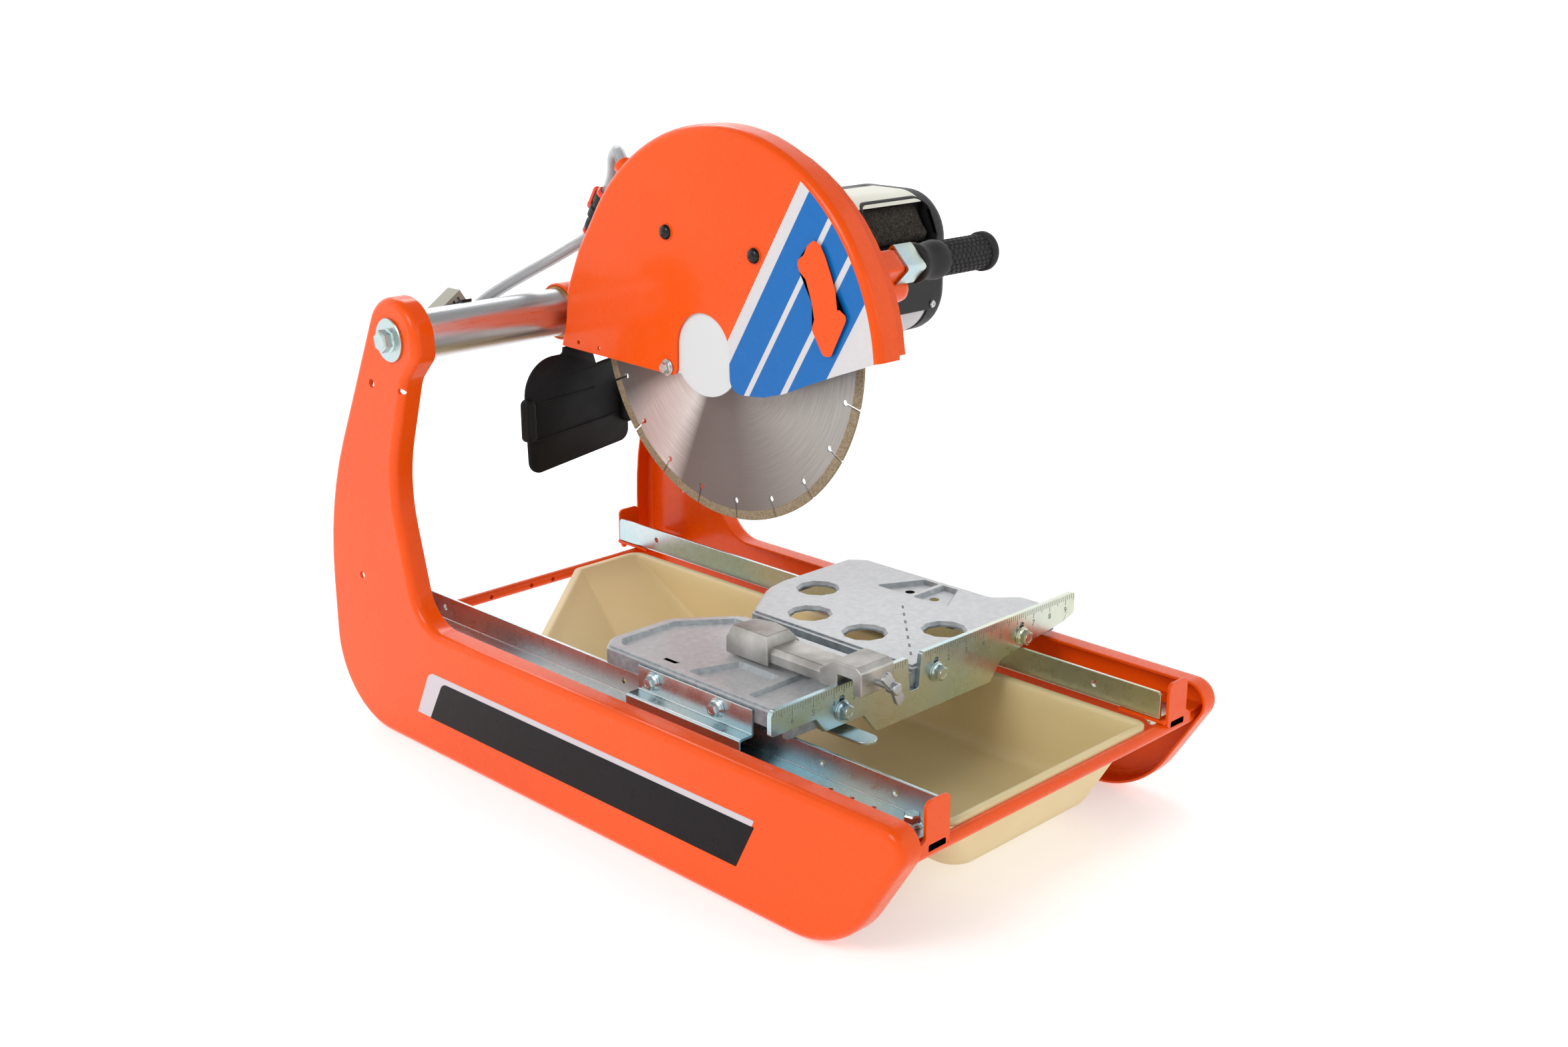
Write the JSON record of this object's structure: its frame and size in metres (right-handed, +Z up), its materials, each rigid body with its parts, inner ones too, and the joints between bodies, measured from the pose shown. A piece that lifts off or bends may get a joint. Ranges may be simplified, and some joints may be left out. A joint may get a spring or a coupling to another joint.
{
  "type": "masonry saw",
  "caption": "Bench-top wet masonry saw: pivoting head with guarded disc blade and motor over a sliding cart on rails and a water tray, between two curved side panels.",
  "frame": {"origin": "on the floor, in the middle of the base's bounding box", "axes": "+X to the operator's right along the blade's spindle, +Y from the operator to the rear along the rails, +Z up"},
  "size_m": [0.468, 0.7919, 0.6239],
  "materials": {
    "black_gloss": "smooth, glossy",
    "black_plastic": "fine moulded texture",
    "black_rubber": "matte",
    "blade_steel": "ground steel core with darker diamond rim",
    "bright_steel": "ground steel",
    "bronze": "sintered bush",
    "carbon": "pressed carbon",
    "cast_aluminium": "cast, bead-blasted",
    "cast_guide": "cast and machined",
    "clear_hose": "clear flexible tube",
    "copper_core": "wound rotor",
    "foam": "open-cell foam",
    "grey_plastic": "fine moulded texture",
    "grey_plate": "smooth, light grey",
    "grip_rubber": "brick-pattern texture",
    "orange_paint": "glossy powder coat with fine speckle",
    "orange_plastic": "smooth",
    "red_plastic": "smooth",
    "strainer_plastic": "moulded",
    "tray_plastic": "moulded, satin",
    "tube_aluminium": "drawn tube, satin",
    "zinc": "bright zinc plate"
  },
  "bodies": {
    "base": {"left_side_panel": "orange_paint", "right_side_panel": "orange_paint", "front_crossbar": "orange_paint", "rear_crossbar": "orange_paint", "rail_brackets": "orange_paint", "left_rail": "zinc", "right_rail": "zinc", "rail_bolts": "zinc", "water_tray": "tray_plastic", "drain_plug": "black_rubber", "pivot_tube": "tube_aluminium", "pivot_washers": "zinc", "pivot_bolts": "zinc", "head_spring": "bright_steel"},
    "head": {"strainer": "strainer_plastic", "strainer_clip": "black_plastic", "feed_hose": "clear_hose", "swing_arm": "orange_paint", "hub_bushes": "bronze", "inner_guard": "orange_paint", "outer_guard": "orange_paint", "access_plate": "grey_plate", "head_screws": "zinc", "gear_case": "cast_aluminium", "motor_housing": "black_plastic", "lower_shell": "grey_plastic", "foam_filter": "foam", "terminal_cover": "black_gloss", "stator": "bright_steel", "brushes": "carbon", "arbor_bearings": "bright_steel", "rotor_bearings": "bright_steel", "handle_bar": "orange_paint", "handle_grip": "grip_rubber", "handle_bracket": "zinc", "mud_flap": "black_rubber", "valve_body": "black_plastic", "inlet_hose": "clear_hose", "switch_box": "black_plastic"},
    "blade": {"saw_blade": "blade_steel", "blade_flanges": "bright_steel", "arbor_shaft": "bright_steel", "arbor_bolt": "zinc", "drive_gear": "bright_steel"},
    "rotor": {"rotor_shaft": "bright_steel", "rotor_core": "copper_core", "pinion": "bright_steel", "cooling_fan": "black_plastic"},
    "tap": {"tap_lever": "orange_plastic"},
    "switch": {"switch_rocker": "red_plastic"},
    "cart": {"cart_table": "cast_aluminium", "fence": "zinc", "roller_plates": "zinc", "cart_bolts": "zinc"},
    "front_wheels": {"front_rollers": "black_plastic"},
    "rear_wheels": {"rear_rollers": "black_plastic"},
    "guide": {"cutting_guide": "cast_guide"},
    "screw": {"guide_screw": "bright_steel"},
    "lock": {"lock_lever": "zinc"}
  },
  "joints": [
    {"name": "head_pivot", "type": "hinge", "parent": "base", "child": "head", "pos_m": [0, 0.2565, 0.419], "axis": [1, 0, 0], "range_deg": [0, 25], "stiffness_Nm_per_rad": 36, "springref_deg": -77.35},
    {"name": "blade_spin", "type": "hinge", "parent": "head", "child": "blade", "pos_m": [0, 0.016, 0.4255], "axis": [1, 0, 0], "continuous": true},
    {"name": "rotor_spin", "type": "hinge", "parent": "head", "child": "rotor", "pos_m": [0, 0.002, 0.47972], "axis": [1, 0, 0], "continuous": true},
    {"name": "tap_turn", "type": "hinge", "parent": "head", "child": "tap", "pos_m": [0.002, 0.211, 0.522], "axis": [0, 0.848, 0.5299], "range_deg": [0, 90]},
    {"name": "switch_rock", "type": "hinge", "parent": "head", "child": "switch", "pos_m": [0.143, 0.09, 0.48], "axis": [1, 0, 0], "range_deg": [-8, 8]},
    {"name": "cart_slide", "type": "slide", "parent": "base", "child": "cart", "axis": [0, 1, 0], "range_m": [-0.15, 0.33]},
    {"name": "front_wheel_spin", "type": "hinge", "parent": "cart", "child": "front_wheels", "pos_m": [0, -0.133, 0.14235], "axis": [1, 0, 0], "continuous": true},
    {"name": "rear_wheel_spin", "type": "hinge", "parent": "cart", "child": "rear_wheels", "pos_m": [0, -0.049, 0.14235], "axis": [1, 0, 0], "continuous": true},
    {"name": "guide_slide", "type": "slide", "parent": "cart", "child": "guide", "axis": [1, 0, 0], "range_m": [-0.08, 0.035]},
    {"name": "guide_screw_turn", "type": "hinge", "parent": "guide", "child": "screw", "pos_m": [-0.08, -0.256, 0.173], "axis": [0, -1, 0], "range_deg": [0, 180]},
    {"name": "lock_lever_turn", "type": "hinge", "parent": "cart", "child": "lock", "pos_m": [-0.098, -0.198, 0.127], "axis": [0, 0, 1], "range_deg": [-30, 30]}
  ],
  "couplings": [
    {"joint": "rotor_spin", "follows": "blade_spin", "ratio": -4.3333},
    {"joint": "front_wheel_spin", "follows": "cart_slide", "rad_per_m": -136.99},
    {"joint": "rear_wheel_spin", "follows": "cart_slide", "rad_per_m": -136.99}
  ]
}
